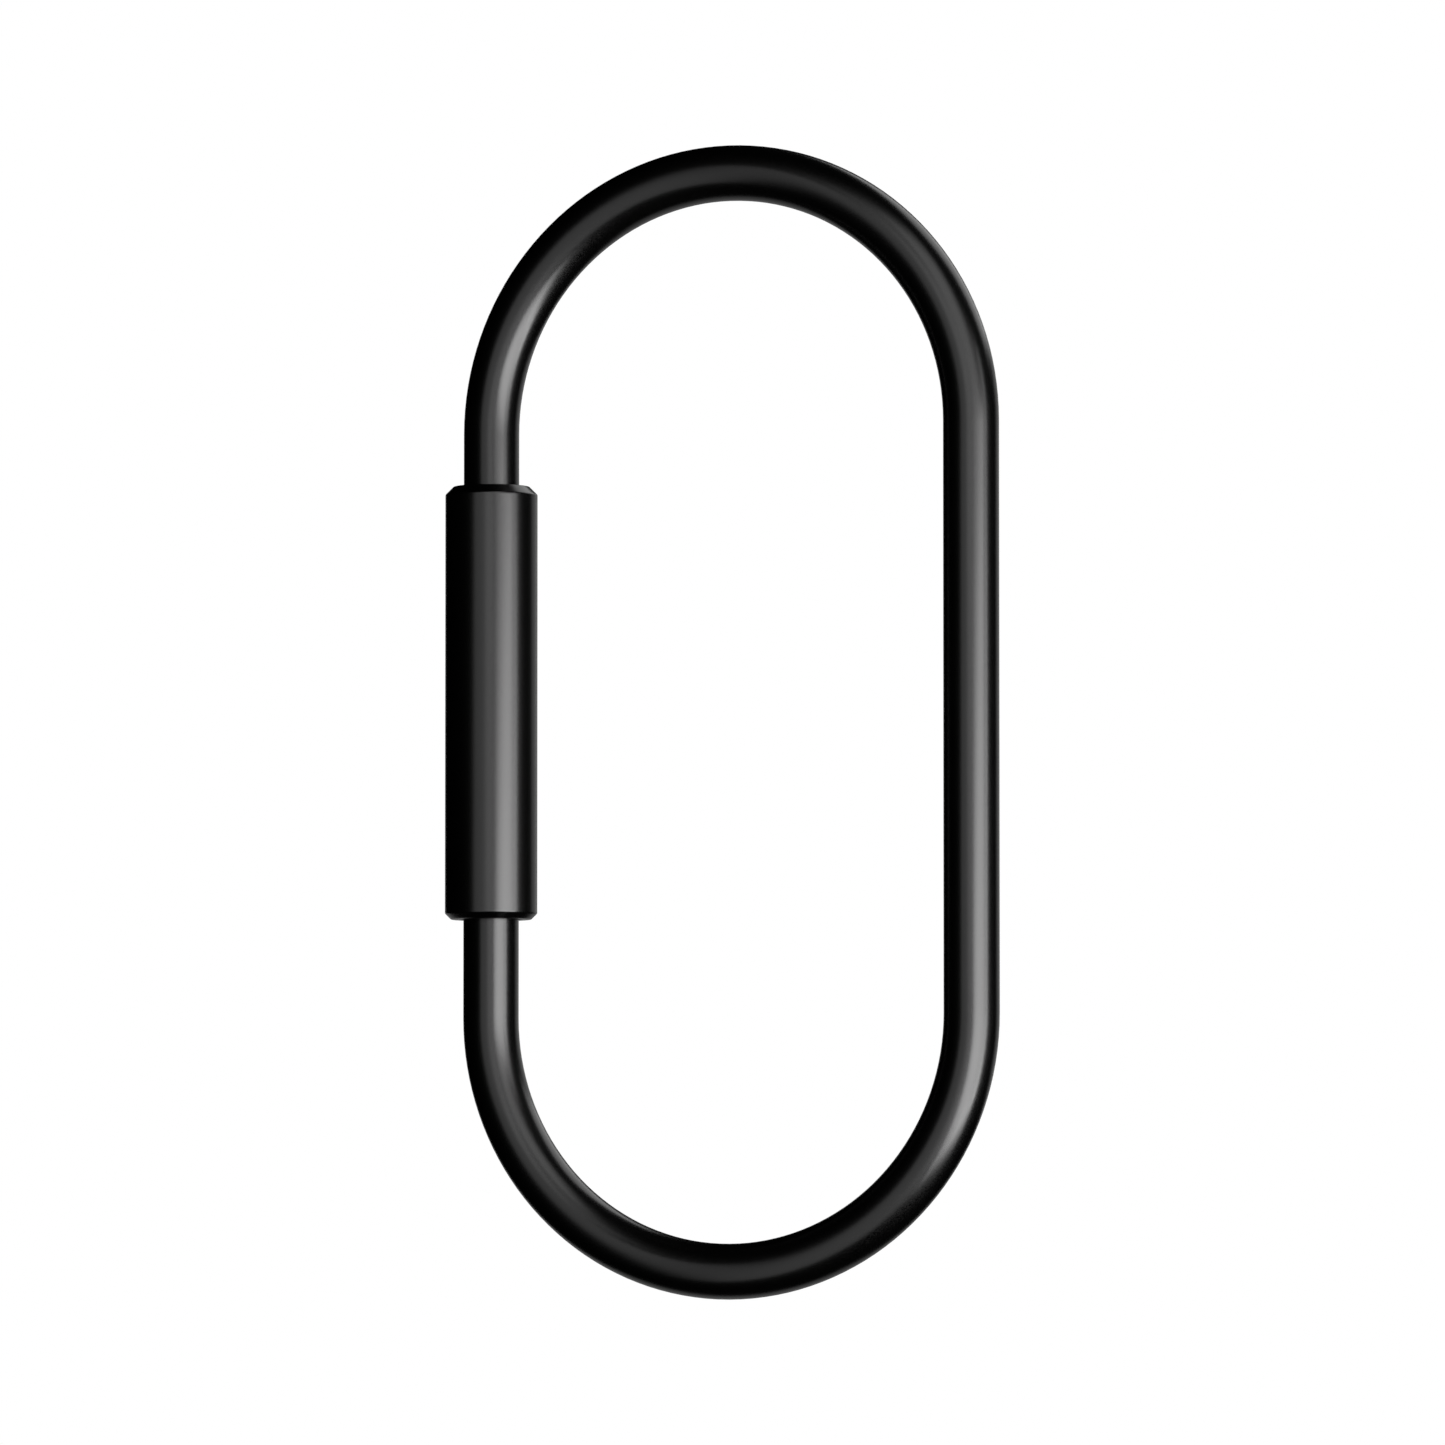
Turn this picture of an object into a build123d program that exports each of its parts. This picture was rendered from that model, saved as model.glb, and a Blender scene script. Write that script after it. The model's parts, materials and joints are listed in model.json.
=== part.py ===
from build123d import *
import os

# A screw-lock key link. One round rod is bent into a long loop whose two ends face each other
# across a gate in one leg. A threaded sleeve on that leg closes the gate: turned, it runs down
# the lower end's thread until the gate is clear. Millimetres. The link lies flat with +Z up and
# +Y along its length, the sleeve's leg on the -X side.

# Rod and loop
rod_diameter = 3.0
loop_width = 30.5  # outside, across both legs
rod_above_sleeve = 2.85  # straight rod that shows between the closed sleeve and the upper bend
rod_below_sleeve = 5.35  # the same below, which is the room that the sleeve opens into

# Sleeve
sleeve_length = 23.5
sleeve_wall = 0.95  # of the plain skirt, below the thread
upper_chamfer = 0.45  # outer edge of the end that the nose screws into
lower_chamfer = 0.33  # outer edge of the skirt's end
mouth_chamfer = 0.15  # inner edge of the skirt's end
skirt_clearance = 0.05  # radial, between the rod and the skirt's plain bore

# Screw thread, M3 x 0.5 right-hand, held here as plain walls at its pitch diameter
thread_pitch = 0.5
thread_clearance = 0.03  # radial
nose_length = 2.0  # thread on the upper end of the rod
tail_engagement = 4.0  # thread of the lower end that the closed sleeve still holds
tail_recess = 0.5  # from the open sleeve's upper face down to the tail's tip
runout_relief = 0.25  # tail thread that is left below the open sleeve's own
tip_chamfer = 0.3  # lead-in of both ends
bend_clearance = 0.1  # between the open sleeve and the lower bend

# Friction ring, captive in a groove near the sleeve's lower end
ring_section = 0.5
ring_clearance = 0.02  # to the rod and to each wall of the groove
ring_inset = 1.2  # from the sleeve's lower face to the middle of the ring

# Worked out from the sizes above
rod_radius = rod_diameter / 2
bend_radius = (loop_width - rod_diameter) / 2
leg_length = rod_above_sleeve + sleeve_length + rod_below_sleeve
bend_y = leg_length / 2

skirt_radius = rod_radius + skirt_clearance
sleeve_radius = skirt_radius + sleeve_wall
sleeve_top = bend_y - rod_above_sleeve
sleeve_bottom = sleeve_top - sleeve_length
travel = rod_below_sleeve - bend_clearance

thread_radius = rod_radius - 0.6495 * thread_pitch / 2  # pitch line of a 60 degree thread
thread_bore = thread_radius + thread_clearance
thread_end = sleeve_top - travel - tail_recess - tail_engagement

nose_tip = sleeve_top - nose_length
tail_tip = sleeve_top - travel - tail_recess
tail_shoulder = thread_end - travel - runout_relief

ring_radius = rod_radius + ring_clearance + ring_section / 2
ring_y = sleeve_bottom + ring_inset

# The sleeve rests on the ground plane, and the loop and sleeve together are centred on X
axis_z = sleeve_radius
loop_x = (sleeve_radius - rod_radius) / 2
leg_axis = Pos(loop_x - bend_radius, 0, axis_z)


def turned(*profile):
    """A solid turned about the sleeve's leg, from (radius, y) points."""
    return leg_axis * revolve(make_face(Polyline(*profile, close=True)), Axis.Y)


def threaded_end(shoulder, tip):
    """A threaded end of the rod, from the cone where the thread runs out to the chamfered tip."""
    way = 1 if tip > shoulder else -1
    return turned(
        (0, shoulder),
        (rod_radius, shoulder),
        (thread_radius, shoulder + way * (rod_radius - thread_radius)),
        (thread_radius, tip - way * tip_chamfer),
        (thread_radius - tip_chamfer, tip),
        (0, tip),
    )


def wire_loop():
    with BuildPart() as rod:
        with BuildLine(Plane(origin=(loop_x, 0, axis_z))) as path:
            Line((-bend_radius, sleeve_top), (-bend_radius, bend_y))
            CenterArc((0, bend_y), bend_radius, 180, -180)
            Line((bend_radius, bend_y), (bend_radius, -bend_y))
            CenterArc((0, -bend_y), bend_radius, 0, -180)
            Line((-bend_radius, -bend_y), (-bend_radius, tail_shoulder))
        with BuildSketch(Plane(origin=path.line @ 0, z_dir=path.line % 0)):
            Circle(rod_radius)
        sweep()
    nose = threaded_end(sleeve_top, nose_tip)
    tail = threaded_end(tail_shoulder, tail_tip)
    return rod.part + nose + tail


def lock_sleeve():
    seat_radius = rod_radius + thread_clearance
    groove_radius = ring_radius + ring_section / 2 + ring_clearance
    groove_half = ring_section / 2 + ring_clearance
    return turned(
        # countersunk seat that meets the nose's run-out cone
        (thread_bore, sleeve_top - (seat_radius - thread_bore)),
        (seat_radius, sleeve_top),
        # outside
        (sleeve_radius - upper_chamfer, sleeve_top),
        (sleeve_radius, sleeve_top - upper_chamfer),
        (sleeve_radius, sleeve_bottom + lower_chamfer),
        (sleeve_radius - lower_chamfer, sleeve_bottom),
        # skirt, with the groove for the friction ring
        (skirt_radius + mouth_chamfer, sleeve_bottom),
        (skirt_radius, sleeve_bottom + mouth_chamfer),
        (skirt_radius, ring_y - groove_half),
        (groove_radius, ring_y - groove_half),
        (groove_radius, ring_y + groove_half),
        (skirt_radius, ring_y + groove_half),
        # step up to the thread
        (skirt_radius, thread_end - (skirt_radius - thread_bore)),
        (thread_bore, thread_end),
    )


def friction_ring():
    return leg_axis * Pos(0, ring_y, 0) * Rot(90, 0, 0) * Torus(ring_radius, ring_section / 2)


os.makedirs("parts", exist_ok=True)
for make_piece in (wire_loop, lock_sleeve, friction_ring):
    export_step(make_piece(), "parts/" + make_piece.__name__ + ".step")

print("overall", 2 * bend_radius + rod_radius + sleeve_radius, leg_length + loop_width, 2 * sleeve_radius)
print("sleeve travel", travel, "turns", travel / thread_pitch, "gate", nose_tip - (sleeve_top - travel))
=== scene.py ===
import json
import math

import bpy
from mathutils import Matrix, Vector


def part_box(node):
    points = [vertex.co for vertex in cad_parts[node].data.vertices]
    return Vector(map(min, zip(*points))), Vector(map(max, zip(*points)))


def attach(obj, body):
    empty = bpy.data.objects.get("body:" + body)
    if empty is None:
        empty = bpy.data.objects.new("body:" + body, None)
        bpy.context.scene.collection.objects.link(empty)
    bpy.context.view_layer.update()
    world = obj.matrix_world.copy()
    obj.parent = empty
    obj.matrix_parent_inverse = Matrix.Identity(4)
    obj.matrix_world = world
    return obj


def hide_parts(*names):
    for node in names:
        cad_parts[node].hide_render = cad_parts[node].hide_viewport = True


mm = 0.001
tiny = 0.001 * mm

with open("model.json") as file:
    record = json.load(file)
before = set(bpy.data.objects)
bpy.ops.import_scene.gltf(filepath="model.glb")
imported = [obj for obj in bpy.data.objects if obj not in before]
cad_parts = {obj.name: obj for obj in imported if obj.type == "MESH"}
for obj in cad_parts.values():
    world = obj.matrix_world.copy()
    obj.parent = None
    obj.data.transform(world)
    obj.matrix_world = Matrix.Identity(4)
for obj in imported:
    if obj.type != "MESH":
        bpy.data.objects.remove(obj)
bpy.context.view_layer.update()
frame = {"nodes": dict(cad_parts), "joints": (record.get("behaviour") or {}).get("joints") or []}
print("frame loaded:", sorted(frame["nodes"]))


def linearColor(hexCode):
    channels = [int(hexCode[i:i + 2], 16) / 255 for i in (1, 3, 5)]
    return [c / 12.92 if c <= 0.04045 else ((c + 0.055) / 1.055) ** 2.4 for c in channels] + [1.0]


def addNode(tree, kind, settings=None, **links):
    # settings are the node's own options, links go to its inputs: a socket or a fixed value
    node = tree.nodes.new(kind)
    for name, value in (settings or {}).items():
        setattr(node, name, value)
    for name, value in links.items():
        socket = next(s for s in node.inputs if s.name.replace(" ", "") == name and s.enabled)
        if isinstance(value, bpy.types.NodeSocket):
            tree.links.new(value, socket)
        else:
            socket.default_value = value
    return node


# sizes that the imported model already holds
rodLow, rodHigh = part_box("wire_loop")
sleeveLow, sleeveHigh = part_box("lock_sleeve")
ringLow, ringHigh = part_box("friction_ring")
rodRadius = (rodHigh.z - rodLow.z) / 2
axisZ = (rodHigh.z + rodLow.z) / 2
loopX = (rodHigh.x + rodLow.x) / 2
bendRadius = (rodHigh.x - rodLow.x) / 2 - rodRadius
bendY = rodHigh.y - rodRadius - bendRadius
legX = loopX - bendRadius
sleeveTop, sleeveBottom = sleeveHigh.y, sleeveLow.y
sleeveRadius = (sleeveHigh.x - sleeveLow.x) / 2
travel = next(j["range_m"][1] for j in frame["joints"] if j["type"] == "slide")

# M3 x 0.5, shared by the rod's ends and the sleeve; crests and roots are radii
thread = {
    "pitch": 0.5 * mm,
    "rodCrest": 1.47 * mm,  # a little under the bare rod
    "rodRoot": 1.193 * mm,
    "sleeveCrest": 1.23 * mm,
    "sleeveRoot": 1.52 * mm,
    "flank": math.radians(30),
    "play": 0.008 * mm,  # of each flank
    "crestFlat": 1 / 8,  # of the basic form, in pitches
    "overcut": 0.03 * mm,  # how far the cutting tools reach past the surface they open
    "phase": 1.3,  # pitches from the sleeve's face down to the first groove's middle
    "sleeveShift": 0.5,  # pitches, from a groove of the rod to the sleeve's next one
    "steps": 48,  # a turn
    "start": math.radians(1.3),  # keeps the tool's points off the rod's own
}


def deselectAll():
    if bpy.context.mode != "OBJECT":
        bpy.ops.object.mode_set(mode="OBJECT")
    bpy.ops.object.select_all(action="DESELECT")


def startRing(name, y, radius, sides, centerX=legX):
    # an open ring square to the leg, with its object at the origin
    deselectAll()
    bpy.ops.mesh.primitive_circle_add(
        vertices=sides, radius=radius, location=(centerX, y, axisZ), rotation=(math.pi / 2, 0, 0))
    piece = bpy.context.object
    piece.name = piece.data.name = name
    bpy.ops.object.transform_apply(location=True, rotation=True, scale=True)
    bpy.ops.object.mode_set(mode="EDIT")
    bpy.ops.mesh.select_mode(type="VERT")
    bpy.ops.mesh.select_all(action="SELECT")
    return piece


def turnRings(radius, y, profile):
    # extrudes the selected ring along the leg through (radius, y) steps, as on a lathe
    for nextRadius, nextY in profile:
        bpy.ops.mesh.extrude_region_move(TRANSFORM_OT_translate={"value": (0, nextY - y, 0)})
        grow = nextRadius / radius
        bpy.ops.transform.resize(value=(grow, 1, grow), center_override=(legX, nextY, axisZ))
        radius, y = nextRadius, nextY


def pushRing(distance):
    # extrudes the selected ring along the leg, with a ring close to each end that keeps the
    # straight part's shading straight
    guard = math.copysign(wireLoop["endRing"], distance)
    for part in (guard, distance - 2 * guard, guard):
        bpy.ops.mesh.extrude_region_move(TRANSFORM_OT_translate={"value": (0, part, 0)})


def selectVerts(piece, test):
    bpy.ops.mesh.select_all(action="DESELECT")
    bpy.ops.object.mode_set(mode="OBJECT")
    for vert in piece.data.vertices:
        vert.select = test(vert.co)
    bpy.ops.object.mode_set(mode="EDIT")


def selectEdges(piece, test):
    # test takes an edge's two ends
    bpy.ops.mesh.select_all(action="DESELECT")
    bpy.ops.mesh.select_mode(type="EDGE")
    bpy.ops.object.mode_set(mode="OBJECT")
    points = [vert.co for vert in piece.data.vertices]
    for edge in piece.data.edges:
        edge.select = test(*(points[i] for i in edge.vertices))
    bpy.ops.object.mode_set(mode="EDIT")


def fromAxis(point):
    return math.hypot(point.x - legX, point.z - axisZ)


def applyModifiers(piece):
    deselectAll()
    piece.select_set(True)
    bpy.context.view_layer.objects.active = piece
    for modifier in list(piece.modifiers):
        bpy.ops.object.modifier_apply(modifier=modifier.name)


def threadTool(name, low, high, offset, depthRadius, openRadius, halfWidth):
    # a cutting tool: one groove's section, swept along a right-hand helix about the leg, from the
    # last start under low to at least high; offset, in pitches, shifts it to the mating thread
    pitch = thread["pitch"]
    below = math.ceil((sleeveTop - low) / pitch - thread["phase"] - offset)
    startY = sleeveTop - (below + thread["phase"] + offset) * pitch
    turns = math.ceil((high - startY - tiny) / pitch)
    slope = math.tan(thread["flank"]) * abs(openRadius - depthRadius)
    narrow = halfWidth - slope
    corners = [
        (depthRadius, -narrow), (openRadius, -halfWidth), (openRadius, halfWidth), (depthRadius, narrow)]
    deselectAll()
    bpy.ops.mesh.primitive_circle_add(
        vertices=4, radius=pitch / 2, location=(legX, startY, axisZ),
        rotation=(0, thread["start"], 0))
    tool = bpy.context.object
    tool.name = name
    for vert, (radius, y) in zip(tool.data.vertices, corners):
        vert.co = (radius, y, 0)
    screw = tool.modifiers.new("helix", "SCREW")
    screw.axis = "Y"
    screw.screw_offset = pitch
    screw.iterations = turns
    screw.steps = screw.render_steps = thread["steps"]
    screw.use_merge_vertices = False
    applyModifiers(tool)
    bpy.ops.object.transform_apply(location=True, rotation=True, scale=True)
    bpy.ops.object.mode_set(mode="EDIT")
    bpy.ops.mesh.select_mode(type="VERT")
    bpy.ops.mesh.select_all(action="SELECT")
    bpy.ops.mesh.fill_holes(sides=4)
    bpy.ops.mesh.normals_make_consistent(inside=False)
    bpy.ops.object.mode_set(mode="OBJECT")
    return tool


def cutAway(piece, tool):
    cut = piece.modifiers.new("cut", "BOOLEAN")
    cut.operation = "DIFFERENCE"
    cut.solver = "EXACT"
    cut.object = tool
    applyModifiers(piece)
    bpy.data.objects.remove(tool)


def smoothPiece(piece, angle):
    deselectAll()
    piece.select_set(True)
    bpy.context.view_layer.objects.active = piece
    bpy.ops.object.shade_smooth_by_angle(angle=math.radians(angle))


wireLoop = {
    "sides": 64,
    "bendSteps": 72,
    "endRing": 0.25 * mm,  # from each end of a straight run to its guard ring
    "noseLength": 2.0 * mm,
    "tailEngagement": 4.0 * mm,
    "tailRecess": 0.5 * mm,
    "runoutRelief": 0.25 * mm,
    "tipChamfer": 0.3 * mm,
    "reliefDepth": 0.02 * mm,  # under the thread's root
    "reliefWidth": 0.3 * mm,
    "reliefRamp": 0.1 * mm,  # along the rod, from the relief up to the crest
    "dieStop": 0.6,  # pitches, from the relief's upper edge down to the end of the nose's cut
    "smoothAngle": 32,
}


def makeWireLoop():
    sides, steps = wireLoop["sides"], wireLoop["bendSteps"]
    tailTip = sleeveTop - travel - wireLoop["tailRecess"]
    tailShoulder = tailTip - travel - wireLoop["tailEngagement"] - wireLoop["runoutRelief"]
    noseTip = sleeveTop - wireLoop["noseLength"]
    crest, chamfer = thread["rodCrest"], wireLoop["tipChamfer"]
    step = rodRadius - crest

    # the bent rod, from the nose's shoulder round to the tail's
    rod = startRing("blackRod", sleeveTop, rodRadius, sides)
    pushRing(bendY - sleeveTop)
    bpy.ops.mesh.spin(steps=steps, angle=math.pi, center=(loopX, bendY, axisZ), axis=(0, 0, 1))
    pushRing(-2 * bendY)
    bpy.ops.mesh.spin(steps=steps, angle=math.pi, center=(loopX, -bendY, axisZ), axis=(0, 0, 1))
    pushRing(tailShoulder + bendY)

    # the tail, turned down to the thread's crest, with a bevelled tip
    turnRings(rodRadius, tailShoulder, [
        (crest, tailShoulder + step), (crest, tailTip - chamfer), (crest - chamfer, tailTip)])
    bpy.ops.mesh.edge_face_add()
    # the nose, with a relief groove behind its thread, where the sleeve's countersink seats
    relief = thread["rodRoot"] - wireLoop["reliefDepth"]
    reliefTop = sleeveTop - (rodRadius - relief)
    reliefLow = reliefTop - wireLoop["reliefWidth"]
    selectVerts(rod, lambda p: abs(p.y - sleeveTop) < tiny and p.x < loopX)
    turnRings(rodRadius, sleeveTop, [
        (relief, reliefTop), (relief, reliefLow), (crest, reliefLow - wireLoop["reliefRamp"]),
        (crest, noseTip + chamfer), (crest - chamfer, noseTip)])
    bpy.ops.mesh.edge_face_add()
    bpy.ops.mesh.select_all(action="SELECT")
    bpy.ops.mesh.remove_doubles(threshold=tiny)
    bpy.ops.mesh.normals_make_consistent(inside=False)

    # both threads lie on one helix, so that the sleeve runs from one to the other
    pitch = thread["pitch"]
    openRadius = rodRadius + thread["overcut"]
    halfWidth = (1 - thread["crestFlat"]) / 2 * pitch + math.tan(thread["flank"]) * thread["overcut"]
    for name, low, high in (("noseDie", noseTip - pitch, reliefTop - wireLoop["dieStop"] * pitch),
                            ("tailDie", tailShoulder - pitch / 2, tailTip + pitch)):
        die = threadTool(name, low, high, 0, thread["rodRoot"], openRadius, halfWidth)
        cutAway(rod, die)
    smoothPiece(rod, wireLoop["smoothAngle"])
    return rod


rod = makeWireLoop()
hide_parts("wire_loop")
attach(rod, "loop")
print("rod bent and threaded:", len(rod.data.polygons), "faces")


lockSleeve = {
    "sides": 96,
    "upperChamfer": 0.45 * mm,
    "lowerChamfer": 0.33 * mm,
    "edgeBreak": 0.05 * mm,
    "mouthChamfer": 0.15 * mm,
    "skirtClearance": 0.05 * mm,
    "seatClearance": 0.03 * mm,
    "ringClearance": 0.02 * mm,
    "smoothAngle": 32,
}


def makeLockSleeve():
    skirt = rodRadius + lockSleeve["skirtClearance"]
    upper, lower, mouth = (lockSleeve[k] for k in ("upperChamfer", "lowerChamfer", "mouthChamfer"))
    threadEnd = sleeveTop - travel - wireLoop["tailRecess"] - wireLoop["tailEngagement"]
    crest = thread["sleeveCrest"]
    seat = rodRadius + lockSleeve["seatClearance"]
    play = lockSleeve["ringClearance"]
    grooveRadius = (ringHigh.x - ringLow.x) / 2 + play
    grooveLow, grooveHigh = ringLow.y - play, ringHigh.y + play

    guard = 2 * lockSleeve["edgeBreak"]  # rings this close to an edge keep its rounding small
    sleeve = startRing("blackSleeve", sleeveTop, seat, lockSleeve["sides"])
    turnRings(seat, sleeveTop, [
        (sleeveRadius - upper - guard, sleeveTop),
        (sleeveRadius - upper, sleeveTop),
        (sleeveRadius - upper + guard, sleeveTop - guard),
        (sleeveRadius - guard, sleeveTop - upper + guard),
        (sleeveRadius, sleeveTop - upper),
        (sleeveRadius, sleeveTop - upper - guard),
        (sleeveRadius, sleeveBottom + lower + guard),
        (sleeveRadius, sleeveBottom + lower),
        (sleeveRadius - guard, sleeveBottom + lower - guard),
        (sleeveRadius - lower + guard, sleeveBottom + guard),
        (sleeveRadius - lower, sleeveBottom),
        (sleeveRadius - lower - guard, sleeveBottom),
        (skirt + mouth, sleeveBottom),
        (skirt, sleeveBottom + mouth),
        (skirt, grooveLow),
        (grooveRadius, grooveLow),
        (grooveRadius, grooveHigh),
        (skirt, grooveHigh),
        (skirt, threadEnd - (skirt - crest)),
        (crest, threadEnd),
        (crest, sleeveTop - (seat - crest)),
        (seat, sleeveTop),
    ])
    bpy.ops.mesh.select_all(action="SELECT")
    bpy.ops.mesh.remove_doubles(threshold=tiny)
    bpy.ops.mesh.normals_make_consistent(inside=False)

    # the coating and tumbling take the sharpness off the outer edges
    corners = ((sleeveRadius - upper, sleeveTop), (sleeveRadius, sleeveTop - upper),
               (sleeveRadius, sleeveBottom + lower), (sleeveRadius - lower, sleeveBottom))

    def onCorner(point, corner):
        return math.hypot(fromAxis(point) - corner[0], point.y - corner[1]) < tiny

    selectEdges(sleeve, lambda a, b: any(onCorner(a, corner) and onCorner(b, corner) for corner in corners))
    bpy.ops.mesh.bevel(offset=lockSleeve["edgeBreak"], segments=3, profile=0.5)

    pitch = thread["pitch"]
    openRadius = crest - thread["overcut"]
    halfWidth = thread["crestFlat"] / 2 * pitch + thread["play"]
    halfWidth += math.tan(thread["flank"]) * (rodRadius - openRadius)
    tap = threadTool("tap", threadEnd - pitch, sleeveTop + pitch, thread["sleeveShift"],
                     thread["sleeveRoot"], openRadius, halfWidth)
    cutAway(sleeve, tap)
    smoothPiece(sleeve, lockSleeve["smoothAngle"])
    return sleeve


sleeve = makeLockSleeve()
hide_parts("lock_sleeve")
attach(sleeve, "sleeve")
print("sleeve turned and tapped:", len(sleeve.data.polygons), "faces")


frictionRing = {
    "around": 96,
    "section": 24,
    "partingLine": 0.02 * mm,
    "smoothAngle": 40,
}


def makeFrictionRing():
    section = (ringHigh.y - ringLow.y) / 2
    middle = (ringHigh.x - ringLow.x) / 2 - section
    ringY = (ringHigh.y + ringLow.y) / 2
    deselectAll()
    bpy.ops.mesh.primitive_torus_add(
        major_segments=frictionRing["around"], minor_segments=frictionRing["section"],
        major_radius=middle, minor_radius=section,
        location=(legX, ringY, axisZ), rotation=(math.pi / 2, 0, 0))
    ring = bpy.context.object
    ring.name = ring.data.name = "rubberRing"
    bpy.ops.object.transform_apply(location=True, rotation=True, scale=True)
    # the mould leaves a narrow parting line round the outside
    bpy.ops.object.mode_set(mode="EDIT")
    selectEdges(ring, lambda a, b: min(fromAxis(a), fromAxis(b)) > middle + section - tiny)
    bpy.ops.mesh.bevel(offset=frictionRing["partingLine"], segments=2, profile=0.5)
    bpy.ops.object.mode_set(mode="OBJECT")
    smoothPiece(ring, frictionRing["smoothAngle"])
    return ring


ring = makeFrictionRing()
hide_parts("friction_ring")
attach(ring, "ring")
print("friction ring moulded")


# Diamond-like carbon on tumbled stainless steel: a thin, hard, near-black coat that keeps the
# metal's soft satin under it. Its colour is the metal's own, seen only in what it mirrors
carbonCoat = {
    "color": "#454545",
    "roughness": 0.26,
    "grain": 0.06 * mm,
    "grainHeight": 0.0006 * mm,
    "patch": 6 * mm,  # the satin varies slowly over this length
    "patchSpread": 0.02,
}


def makeCarbonCoat(name):
    material = bpy.data.materials.new(name)
    material.use_nodes = True
    tree = material.node_tree
    tree.nodes.clear()
    place = addNode(tree, "ShaderNodeTexCoord").outputs["Object"]
    grain = addNode(tree, "ShaderNodeTexNoise", {"noise_dimensions": "3D"},
                    Vector=place, Scale=1 / carbonCoat["grain"], Detail=2.0, Roughness=0.5)
    bump = addNode(tree, "ShaderNodeBump", Height=grain.outputs["Fac"],
                   Strength=1.0, Distance=carbonCoat["grainHeight"])
    cloud = addNode(tree, "ShaderNodeTexNoise", {"noise_dimensions": "3D"},
                    Vector=place, Scale=1 / carbonCoat["patch"], Detail=3.0)
    spread = addNode(tree, "ShaderNodeMapRange", Value=cloud.outputs["Fac"],
                     ToMin=carbonCoat["roughness"] - carbonCoat["patchSpread"],
                     ToMax=carbonCoat["roughness"] + carbonCoat["patchSpread"])
    shader = addNode(tree, "ShaderNodeBsdfPrincipled",
                     BaseColor=linearColor(carbonCoat["color"]), Metallic=1.0,
                     Roughness=spread.outputs["Result"], Normal=bump.outputs["Normal"])
    addNode(tree, "ShaderNodeOutputMaterial", Surface=shader.outputs["BSDF"])
    return material


nitrile = {
    "color": "#161616",
    "roughness": 0.6,
    "grain": 0.05 * mm,
    "grainHeight": 0.001 * mm,
}


def makeNitrile():
    material = bpy.data.materials.new("nitrileRubber")
    material.use_nodes = True
    tree = material.node_tree
    tree.nodes.clear()
    place = addNode(tree, "ShaderNodeTexCoord").outputs["Object"]
    grain = addNode(tree, "ShaderNodeTexNoise", Vector=place, Scale=1 / nitrile["grain"], Detail=3.0)
    bump = addNode(tree, "ShaderNodeBump", Height=grain.outputs["Fac"],
                   Strength=1.0, Distance=nitrile["grainHeight"])
    shader = addNode(tree, "ShaderNodeBsdfPrincipled", BaseColor=linearColor(nitrile["color"]),
                     Roughness=nitrile["roughness"], Normal=bump.outputs["Normal"])
    addNode(tree, "ShaderNodeOutputMaterial", Surface=shader.outputs["BSDF"])
    return material


def dress(piece, material):
    piece.data.materials.clear()
    piece.data.materials.append(material)


dress(rod, makeCarbonCoat("carbonCoatRod"))
dress(sleeve, makeCarbonCoat("carbonCoatSleeve"))
dress(ring, makeNitrile())
print("materials on")


# The camera's own frame: its right, its up and back towards it, about the middle of the loop
view = {
    "turn": math.radians(-20.1),  # about the loop's length
    "tip": math.radians(-3.3),  # the camera stands a little towards the far end
    "distance": 640 * mm,
    "aside": (0.38 * mm, 0.08 * mm),  # to its left and down
    "lens": 296.4,  # this and the sensor in millimetres, as the camera takes them
    "sensor": 36,
    "clip": (1 * mm, 20000 * mm),
}
lookFrame = (
    Matrix.Translation((loopX, 0, axisZ))
    @ (Matrix.Rotation(view["tip"], 4, "X") @ Matrix.Rotation(view["turn"], 4, "Y")).transposed()
    @ Matrix.Translation((-view["aside"][0], -view["aside"][1], 0))
)

camera = bpy.data.objects.new("camera", bpy.data.cameras.new("camera"))
bpy.context.scene.collection.objects.link(camera)
camera.data.sensor_width = view["sensor"]
camera.data.lens = view["lens"]
camera.data.clip_start, camera.data.clip_end = view["clip"]
camera.matrix_world = lookFrame @ Matrix.Translation((0, 0, view["distance"]))
bpy.context.scene.camera = camera


# Softboxes round the object: where each stands as seen from the camera, in degrees to the right
# of it and above it, its distance and size in millimetres, its own turn in degrees, and how bright
# its face is
softboxes = {
    # on the right, for the broad highlight down each leg
    "key": dict(right=35, above=-12, distance=170, size=(145, 130), roll=15, glow=5),
    "hot": dict(right=45, above=-30, distance=250, size=(120, 60), roll=0, glow=3.2),
    "edge": dict(right=62, above=-10, distance=150, size=(20, 100), roll=-10, glow=5),
    "kicker": dict(right=60, above=12, distance=1000, size=(170, 500), roll=0, glow=2),
    # in front, dim and broad, for the grey beside it
    "fill": dict(right=10, above=15, distance=400, size=(400, 600), roll=10, glow=0.65),
    "high": dict(right=30, above=20, distance=250, size=(180, 420), roll=10, glow=0.65),
    "front": dict(right=-20, above=-5, distance=1000, size=(900, 1400), roll=0, glow=0.6),
    # from behind, for a thin line along the outline
    "back": dict(right=135, above=35, distance=1000, size=(800, 700), roll=-15, glow=1.5),
    "low": dict(right=180, above=-25, distance=1000, size=(1000, 1400), roll=10, glow=0.3),
    "rim": dict(right=140, above=0, distance=800, size=(500, 400), roll=0, glow=0.4),
}


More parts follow.
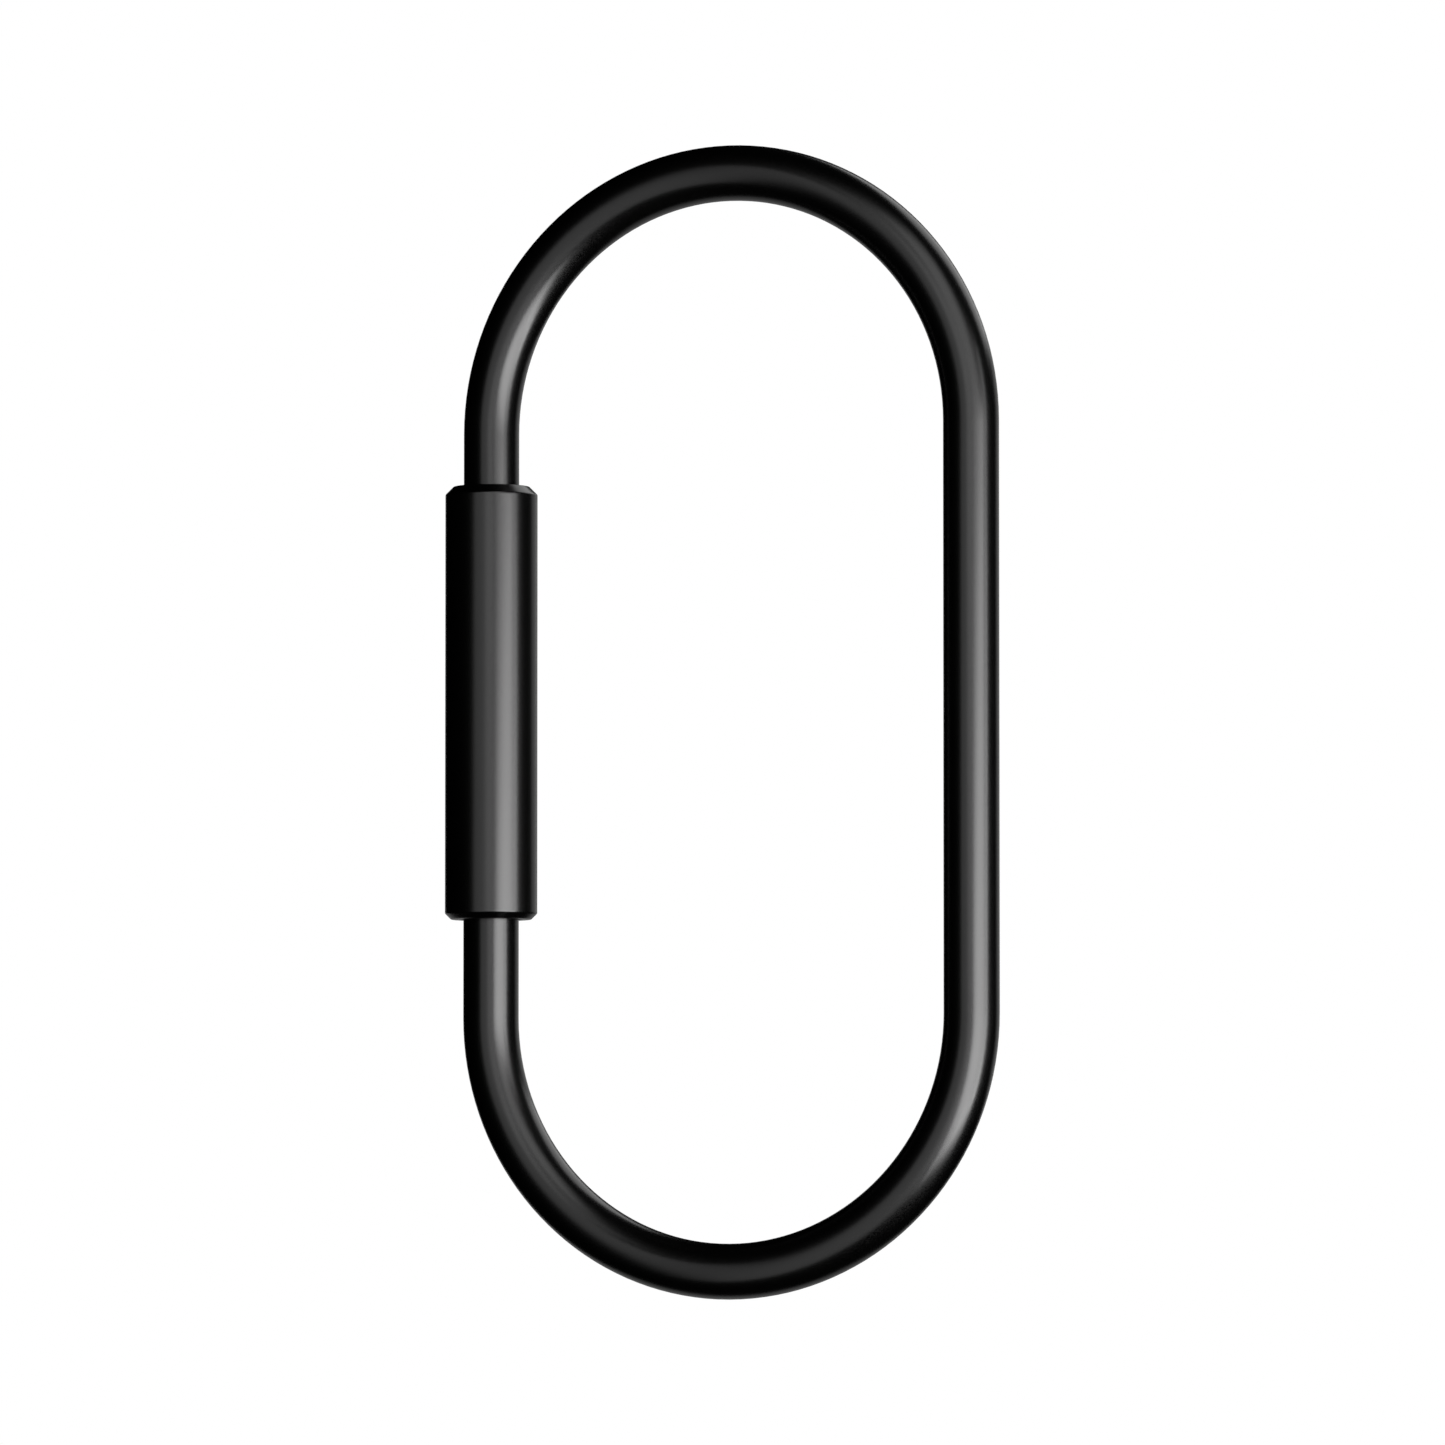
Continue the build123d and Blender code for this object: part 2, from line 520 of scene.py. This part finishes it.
def makeSoftbox(name, box):
    light = bpy.data.lights.new(name, "AREA")
    light.shape = "RECTANGLE"
    light.size, light.size_y = (side * mm for side in box["size"])
    light.energy = box["glow"] * math.pi * light.size * light.size_y
    lamp = bpy.data.objects.new(name, light)
    bpy.context.scene.collection.objects.link(lamp)
    lamp.visible_camera = False
    lamp.matrix_world = (
        lookFrame
        @ Matrix.Rotation(math.radians(box["right"]), 4, "Y")
        @ Matrix.Rotation(math.radians(-box["above"]), 4, "X")
        @ Matrix.Translation((0, 0, box["distance"] * mm))
        @ Matrix.Rotation(math.radians(box["roll"]), 4, "Z")
    )


for name, box in softboxes.items():
    makeSoftbox(name, box)
print("camera and softboxes set")


# The link lies with its sleeve and its plain leg on the floor, so the floor meets both
floorTilt = math.asin((sleeveRadius - rodRadius) / (2 * bendRadius))
floorSize = 8000 * mm


def makeFloor():
    deselectAll()
    bpy.ops.mesh.primitive_plane_add(size=floorSize, location=(legX, 0, axisZ))
    floor = bpy.context.object
    floor.name = "floor"
    floor.matrix_world = (
        Matrix.Translation((legX, 0, axisZ)) @ Matrix.Rotation(-floorTilt, 4, "Y")
        @ Matrix.Translation((0, 0, -sleeveRadius)))
    floor.visible_diffuse = floor.visible_glossy = floor.visible_shadow = False
    material = bpy.data.materials.new("whitePaper")
    material.use_nodes = True
    tree = material.node_tree
    tree.nodes.clear()
    glow = addNode(tree, "ShaderNodeEmission", Color=linearColor("#ffffff"), Strength=1.0)
    addNode(tree, "ShaderNodeOutputMaterial", Surface=glow.outputs["Emission"])
    dress(floor, material)


makeFloor()

world = bpy.data.worlds.new("studio")
world.use_nodes = True
bpy.context.scene.world = world
tree = world.node_tree
tree.nodes.clear()
path = addNode(tree, "ShaderNodeLightPath")
room = addNode(tree, "ShaderNodeBackground", Color=linearColor("#ffffff"),
               Strength=path.outputs["Is Camera Ray"])
addNode(tree, "ShaderNodeOutputWorld", Surface=room.outputs["Background"])

bpy.context.scene.view_settings.view_transform = "Standard"
bpy.context.scene.view_settings.look = "None"
print("floor and room set")
